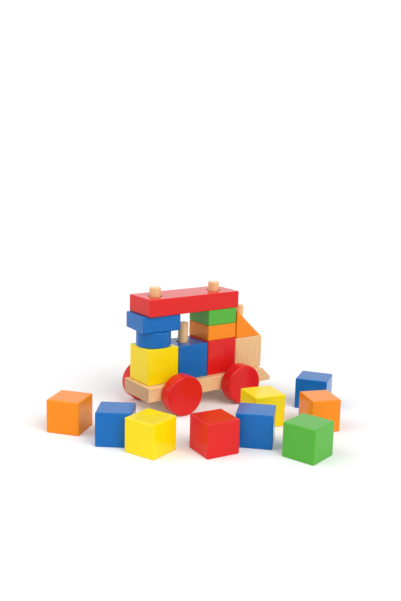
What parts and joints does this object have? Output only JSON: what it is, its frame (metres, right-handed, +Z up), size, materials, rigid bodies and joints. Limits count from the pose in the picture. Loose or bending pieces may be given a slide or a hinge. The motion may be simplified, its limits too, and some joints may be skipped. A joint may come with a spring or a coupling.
{
  "type": "wooden car puzzle",
  "caption": "Wooden stacking car: a plank on turning wheels with upright pegs, drilled coloured blocks threaded on the pegs, a roof beam, and loose cubes around it.",
  "frame": {"origin": "on the surface that the toy stands on, under the middle of the whole set's box", "axes": "+X towards the car's sloped nose, +Y to the car's left side, +Z up"},
  "size_m": [0.2738, 0.2246, 0.1181],
  "materials": {
    "red_paint": "satin painted wood",
    "yellow_paint": "satin painted wood",
    "blue_paint": "satin painted wood",
    "orange_paint": "satin painted wood",
    "green_paint": "satin painted wood",
    "beech": "clear lacquered beech"
  },
  "bodies": {
    "chassis": {"base_plank": "beech", "peg_rear": "beech", "peg_cab": "beech", "peg_roof": "beech", "peg_bonnet": "beech"},
    "rear_left_wheel": {"rear_left_axle": "beech", "rear_left_wheel": "red_paint"},
    "rear_right_wheel": {"rear_right_axle": "beech", "rear_right_wheel": "red_paint"},
    "front_left_wheel": {"front_left_axle": "beech", "front_left_wheel": "red_paint"},
    "front_right_wheel": {"front_right_axle": "beech", "front_right_wheel": "red_paint"},
    "yellow_cube": {"yellow_cube": "yellow_paint"},
    "blue_cube": {"blue_cube": "blue_paint"},
    "red_cube": {"red_cube": "red_paint"},
    "natural_cube": {"natural_cube": "beech"},
    "blue_cylinder": {"blue_cylinder": "blue_paint"},
    "blue_slab": {"blue_slab": "blue_paint"},
    "orange_half_block": {"orange_half_block": "orange_paint"},
    "green_half_block": {"green_half_block": "green_paint"},
    "orange_wedge": {"orange_wedge": "orange_paint"},
    "red_roof_beam": {"red_roof_beam": "red_paint"},
    "loose_orange_left": {"loose_orange_left": "orange_paint"},
    "loose_blue_left": {"loose_blue_left": "blue_paint"},
    "loose_yellow_left": {"loose_yellow_left": "yellow_paint"},
    "loose_red": {"loose_red": "red_paint"},
    "loose_blue_middle": {"loose_blue_middle": "blue_paint"},
    "loose_green": {"loose_green": "green_paint"},
    "loose_orange_right": {"loose_orange_right": "orange_paint"},
    "loose_blue_right": {"loose_blue_right": "blue_paint"},
    "loose_yellow_right": {"loose_yellow_right": "yellow_paint"}
  },
  "joints": [
    {"name": "rear_left_wheel_spin", "type": "hinge", "parent": "chassis", "child": "rear_left_wheel", "pos_m": [-0.01729, 0.07771, 0.0194], "axis": [0, 1, 0], "continuous": true},
    {"name": "rear_right_wheel_spin", "type": "hinge", "parent": "chassis", "child": "rear_right_wheel", "pos_m": [-0.00949, 0.07771, 0.0194], "axis": [0, 1, 0], "continuous": true},
    {"name": "front_left_wheel_spin", "type": "hinge", "parent": "chassis", "child": "front_left_wheel", "pos_m": [0.05261, 0.07771, 0.0194], "axis": [0, 1, 0], "continuous": true},
    {"name": "front_right_wheel_spin", "type": "hinge", "parent": "chassis", "child": "front_right_wheel", "pos_m": [0.06041, 0.07771, 0.0194], "axis": [0, 1, 0], "continuous": true},
    {"name": "red_cube_lift", "type": "slide", "parent": "chassis", "child": "red_cube", "axis": [0, 0, 1], "range_m": [0, 0.094]},
    {"name": "yellow_cube_lift", "type": "slide", "parent": "chassis", "child": "yellow_cube", "axis": [0, 0, 1], "range_m": [0, 0.094]},
    {"name": "blue_cube_lift", "type": "slide", "parent": "chassis", "child": "blue_cube", "axis": [0, 0, 1], "range_m": [0, 0.094]},
    {"name": "natural_cube_lift", "type": "slide", "parent": "chassis", "child": "natural_cube", "axis": [0, 0, 1], "range_m": [0, 0.094]},
    {"name": "orange_half_block_lift", "type": "slide", "parent": "red_cube", "child": "orange_half_block", "axis": [0, 0, 1], "range_m": [0, 0.06]},
    {"name": "blue_cylinder_lift", "type": "slide", "parent": "yellow_cube", "child": "blue_cylinder", "axis": [0, 0, 1], "range_m": [0, 0.06]},
    {"name": "orange_wedge_lift", "type": "slide", "parent": "natural_cube", "child": "orange_wedge", "axis": [0, 0, 1], "range_m": [0, 0.06]},
    {"name": "green_half_block_lift", "type": "slide", "parent": "orange_half_block", "child": "green_half_block", "axis": [0, 0, 1], "range_m": [0, 0.045]},
    {"name": "blue_slab_lift", "type": "slide", "parent": "blue_cylinder", "child": "blue_slab", "axis": [0, 0, 1], "range_m": [0, 0.045]},
    {"name": "red_roof_beam_lift", "type": "slide", "parent": "green_half_block", "child": "red_roof_beam", "axis": [0, 0, 1], "range_m": [0, 0.03]},
    {"name": "loose_orange_left_lift", "type": "slide", "parent": "chassis", "child": "loose_orange_left", "axis": [0, 0, 1], "range_m": [0, 0.06]},
    {"name": "loose_blue_left_lift", "type": "slide", "parent": "chassis", "child": "loose_blue_left", "axis": [0, 0, 1], "range_m": [0, 0.06]},
    {"name": "loose_yellow_left_lift", "type": "slide", "parent": "chassis", "child": "loose_yellow_left", "axis": [0, 0, 1], "range_m": [0, 0.06]},
    {"name": "loose_red_lift", "type": "slide", "parent": "chassis", "child": "loose_red", "axis": [0, 0, 1], "range_m": [0, 0.06]},
    {"name": "loose_blue_middle_lift", "type": "slide", "parent": "chassis", "child": "loose_blue_middle", "axis": [0, 0, 1], "range_m": [0, 0.06]},
    {"name": "loose_green_lift", "type": "slide", "parent": "chassis", "child": "loose_green", "axis": [0, 0, 1], "range_m": [0, 0.06]},
    {"name": "loose_orange_right_lift", "type": "slide", "parent": "chassis", "child": "loose_orange_right", "axis": [0, 0, 1], "range_m": [0, 0.06]},
    {"name": "loose_blue_right_lift", "type": "slide", "parent": "chassis", "child": "loose_blue_right", "axis": [0, 0, 1], "range_m": [0, 0.06]},
    {"name": "loose_yellow_right_lift", "type": "slide", "parent": "chassis", "child": "loose_yellow_right", "axis": [0, 0, 1], "range_m": [0, 0.06]}
  ],
  "couplings": [
    {"joint": "yellow_cube_lift", "follows": "red_cube_lift", "ratio": 1},
    {"joint": "blue_cube_lift", "follows": "red_cube_lift", "ratio": 1},
    {"joint": "natural_cube_lift", "follows": "red_cube_lift", "ratio": 1},
    {"joint": "blue_cylinder_lift", "follows": "orange_half_block_lift", "ratio": 1},
    {"joint": "orange_wedge_lift", "follows": "orange_half_block_lift", "ratio": 1},
    {"joint": "blue_slab_lift", "follows": "green_half_block_lift", "ratio": 1}
  ]
}
